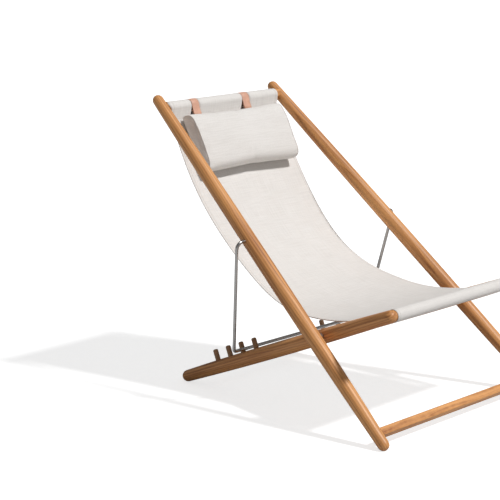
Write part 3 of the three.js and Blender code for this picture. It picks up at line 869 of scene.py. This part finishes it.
def tube(points, radius, sides=10, closed=False):
    """A round tube along the points, as verts and faces."""
    verts = []
    count = len(points)
    up = Vector((1, 0, 0))
    for i, point in enumerate(points):
        before = points[(i - 1) % count] if closed else points[max(i - 1, 0)]
        after = points[(i + 1) % count] if closed else points[min(i + 1, count - 1)]
        along = (after - before).normalized()
        side = along.cross(up).normalized()
        rise = side.cross(along)
        for k in range(sides):
            a = 2 * math.pi * k / sides
            verts.append(point + side * math.cos(a) * radius + rise * math.sin(a) * radius)
    faces = grid_faces(count, sides, wrap_rows=closed, wrap_columns=True)
    if not closed:
        faces.append(tuple(reversed(range(sides))))
        faces.append(tuple(range((count - 1) * sides, count * sides)))
    return verts, faces


def build_piping(pillow, material):
    """A corded seam round each end panel, laid on the filled cushion's surface."""
    inverse = HEADREST.inverted()
    mesh = pillow.data.copy()
    mesh.transform(inverse)
    tree = BVHTree.FromPolygons([v.co for v in mesh.vertices], [p.vertices[:] for p in mesh.polygons])
    for side, word in ((-1, "right"), (1, "left")):
        points = []
        for y, z in pillow_outline(0.0, 16):
            aim = Vector((HEAD_SHIFT + side * (PILLOW_HALF - 0.002), y, z))
            near = tree.find_nearest(aim)[0]
            points.append(near)
        points = relax(points, 3)
        verts, faces = tube(points, 0.0021, closed=True)
        piping = new_piece(f"headrest_piping_{word}", [HEADREST @ v for v in verts], faces, material)
        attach(piping, "headrest")


def relax(points, rounds):
    for _ in range(rounds):
        points = [
            (points[i - 1] + points[i] * 2 + points[(i + 1) % len(points)]) / 4 for i in range(len(points))
        ]
    return points


def strap_path():
    """The strap's middle line in the headrest's YZ plane: up the front, over the bar and back again."""
    reach = BAR_RADIUS + 0.0003 + STRAP_THICK / 2
    foot = -(PILLOW_DROP + 0.003)
    points = [(-reach + 0.003, foot + 0.010 * k) for k in range(3)]
    steps = 22
    for k in range(steps + 1):
        a = math.pi + 0.15 - (math.pi * 1.42) * k / steps
        points.append((reach * math.cos(a), reach * math.sin(a)))
    points += [(-reach + 0.0055, -reach - 0.004), (-reach + 0.0055, foot)]
    return points


def build_straps(material):
    for x, word in zip(STRAP_X, ("right", "left")):
        path = strap_path()
        verts = []
        section = []
        w, t, r = STRAP_HALF, STRAP_THICK / 2, 0.0007
        for sx, st in ((1, 1), (-1, 1), (-1, -1), (1, -1)):
            corner = [(sx * (w - r), st * t), (sx * w, st * (t - r))]
            section += corner if sx * st < 0 else corner[::-1]
        for i, (y, z) in enumerate(path):
            before = Vector(path[max(i - 1, 0)])
            after = Vector(path[min(i + 1, len(path) - 1)])
            along = (after - before).normalized()
            out = Vector((-along.y, along.x))
            for across, thick in section:
                verts.append(Vector((x + across, y + out.x * thick, z + out.y * thick)))
        sides = len(section)
        faces = grid_faces(len(path), sides, wrap_columns=True)
        faces.append(tuple(reversed(range(sides))))
        faces.append(tuple(range((len(path) - 1) * sides, len(path) * sides)))
        strap = new_piece(f"headrest_strap_{word}", [HEADREST @ v for v in verts], faces, material)
        fix_normals(strap)
        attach(strap, "headrest")
        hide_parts(f"strap_{word}")


# ---------- studio ----------
CAMERA_PLACE = (-3.62317, -2.93374, 1.34245)
CAMERA_YAW = math.radians(48.154)
CAMERA_PITCH = math.radians(11.581)
CAMERA_LENS = 126.62
KEY_WAY = Vector((-0.204, 0.541, -0.816))   # the way the key light travels
KEY_POWER = 2.8
KEY_SPREAD = math.radians(6)
ROOM_LIGHT = 0.21
FLOOR_GLOW = 0.71
FLOOR_HALF = 60.0


def add_camera():
    camera = bpy.data.cameras.new("camera")
    camera.lens = CAMERA_LENS
    camera.sensor_width = 36.0
    camera.clip_end = 60.0
    holder = bpy.data.objects.new("camera", camera)
    holder.location = CAMERA_PLACE
    holder.rotation_euler = Euler((math.pi / 2 - CAMERA_PITCH, 0, -CAMERA_YAW))
    bpy.context.scene.collection.objects.link(holder)
    bpy.context.scene.camera = holder


def add_key():
    light = bpy.data.lights.new("key", "SUN")
    light.energy = KEY_POWER
    light.angle = KEY_SPREAD
    holder = bpy.data.objects.new("key", light)
    holder.location = KEY_WAY.normalized() * -4
    holder.rotation_euler = KEY_WAY.to_track_quat("-Z", "Y").to_euler()
    bpy.context.scene.collection.objects.link(holder)


def add_studio():
    floor, tree, shader = new_material("studio_floor")
    shader.inputs["Base Color"].default_value = (0.62, 0.62, 0.62, 1)
    shader.inputs["Roughness"].default_value = 0.9
    shader.inputs["Specular IOR Level"].default_value = 0.1
    shader.inputs["Emission Color"].default_value = (1, 1, 1, 1)
    seen = tree.nodes.new("ShaderNodeLightPath")
    glow = math_node(tree, "MULTIPLY", seen.outputs["Is Camera Ray"], FLOOR_GLOW)
    tree.links.new(glow, shader.inputs["Emission Strength"])
    far = FLOOR_HALF
    corners = [(-far, -far, 0), (far, -far, 0), (far, far, 0), (-far, far, 0)]
    ground = new_piece("studio_floor", corners, [(0, 1, 2, 3)], floor, smooth=False)
    world = bpy.data.worlds.new("studio_air")
    bpy.context.scene.world = world
    world.use_nodes = True
    tree = world.node_tree
    tree.nodes.clear()
    output = tree.nodes.new("ShaderNodeOutputWorld")
    seen = tree.nodes.new("ShaderNodeBackground")
    lit = tree.nodes.new("ShaderNodeBackground")
    seen.inputs["Color"].default_value = (1, 1, 1, 1)
    lit.inputs["Color"].default_value = (1, 1, 1, 1)
    seen.inputs["Strength"].default_value = 1.0
    lit.inputs["Strength"].default_value = ROOM_LIGHT
    path = tree.nodes.new("ShaderNodeLightPath")
    mix = tree.nodes.new("ShaderNodeMixShader")
    tree.links.new(path.outputs["Is Camera Ray"], mix.inputs[0])
    tree.links.new(lit.outputs[0], mix.inputs[1])
    tree.links.new(seen.outputs[0], mix.inputs[2])
    tree.links.new(mix.outputs[0], output.inputs[0])
    bpy.context.scene.view_settings.view_transform = "Standard"
    add_key()


add_camera()
add_studio()
dress_frames()
dress_steel()
canvas = canvas_material("sling_canvas", PALE_CANVAS, DEEP_CANVAS, seam_lengths())
cushion = canvas_material("pillow_canvas", PALE_CANVAS, DEEP_CANVAS)
leather = leather_material("strap_leather", (0.74, 0.42, 0.30, 1), (0.55, 0.28, 0.19, 1))
build_sling(canvas)
pillow = build_pillow(cushion)
build_piping(pillow, cushion)
build_straps(leather)
